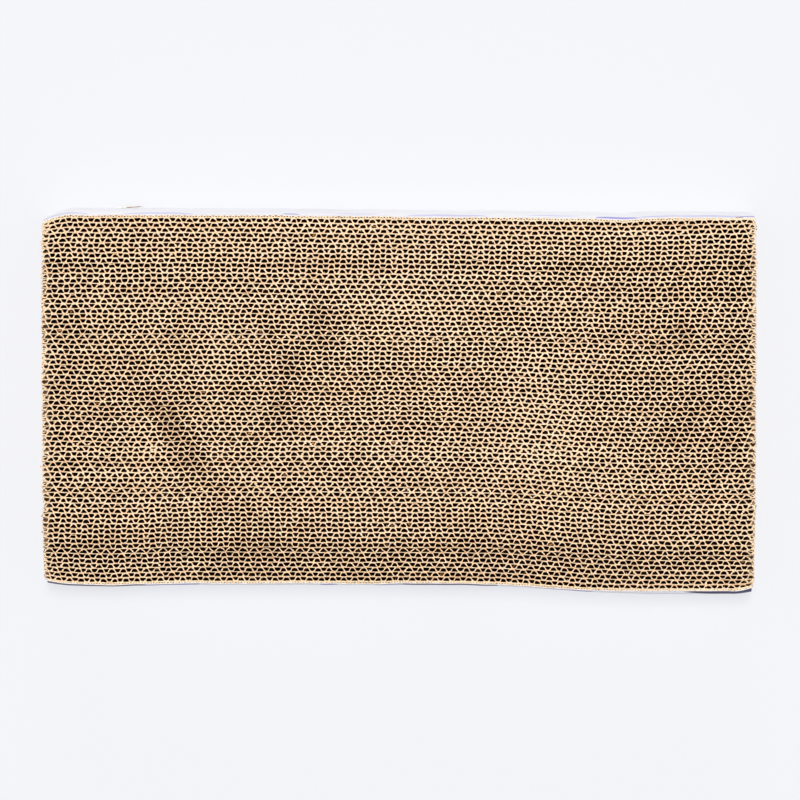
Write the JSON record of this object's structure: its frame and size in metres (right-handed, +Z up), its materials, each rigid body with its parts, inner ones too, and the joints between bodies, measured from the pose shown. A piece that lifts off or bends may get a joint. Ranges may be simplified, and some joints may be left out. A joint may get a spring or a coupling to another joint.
{
  "type": "cardboard cat scratcher",
  "caption": "Flat cat scratcher of corrugated cardboard strips glued face to face, their open flute ends forming two alike scratching faces, with a printed board down each long side.",
  "frame": {"origin": "centre of the lower face, on the surface that the scratcher lies on", "axes": "+X along the strips, +Y from the front strip to the rear one, +Z up out of the scratching face, along the flutes"},
  "size_m": [0.4, 0.21, 0.045],
  "materials": {
    "kraft_fluting": "matte",
    "kraft_liner": "matte",
    "micro_fluting": "matte",
    "printed_liner": "satin"
  },
  "bodies": {
    "root": {"fluting_01_03": "kraft_fluting", "fluting_04_06": "kraft_fluting", "fluting_07_09": "kraft_fluting", "fluting_10_12": "kraft_fluting", "fluting_13_15": "kraft_fluting", "fluting_16_18": "kraft_fluting", "fluting_19_21": "kraft_fluting", "fluting_22_24": "kraft_fluting", "fluting_25_27": "kraft_fluting", "fluting_28_30": "kraft_fluting", "fluting_31_33": "kraft_fluting", "fluting_34_36": "kraft_fluting", "fluting_37_39": "kraft_fluting", "fluting_40_42": "kraft_fluting", "fluting_43_45": "kraft_fluting", "fluting_46_48": "kraft_fluting", "fluting_49_51": "kraft_fluting", "fluting_52_54": "kraft_fluting", "fluting_55_57": "kraft_fluting", "fluting_58_60": "kraft_fluting", "fluting_61_63": "kraft_fluting", "fluting_64_66": "kraft_fluting", "fluting_67_69": "kraft_fluting", "fluting_70_72": "kraft_fluting", "front_liners_01_06": "kraft_liner", "front_liners_07_12": "kraft_liner", "front_liners_13_18": "kraft_liner", "front_liners_19_24": "kraft_liner", "front_liners_25_30": "kraft_liner", "front_liners_31_36": "kraft_liner", "front_liners_37_42": "kraft_liner", "front_liners_43_48": "kraft_liner", "front_liners_49_54": "kraft_liner", "front_liners_55_60": "kraft_liner", "front_liners_61_66": "kraft_liner", "front_liners_67_72": "kraft_liner", "rear_liners_01_06": "kraft_liner", "rear_liners_07_12": "kraft_liner", "rear_liners_13_18": "kraft_liner", "rear_liners_19_24": "kraft_liner", "rear_liners_25_30": "kraft_liner", "rear_liners_31_36": "kraft_liner", "rear_liners_37_42": "kraft_liner", "rear_liners_43_48": "kraft_liner", "rear_liners_49_54": "kraft_liner", "rear_liners_55_60": "kraft_liner", "rear_liners_61_66": "kraft_liner", "rear_liners_67_72": "kraft_liner", "front_board_printed_liner": "printed_liner", "front_board_micro_fluting": "micro_fluting", "front_board_inner_liner": "kraft_liner", "rear_board_printed_liner": "printed_liner", "rear_board_micro_fluting": "micro_fluting", "rear_board_inner_liner": "kraft_liner"}
  },
  "joints": []
}
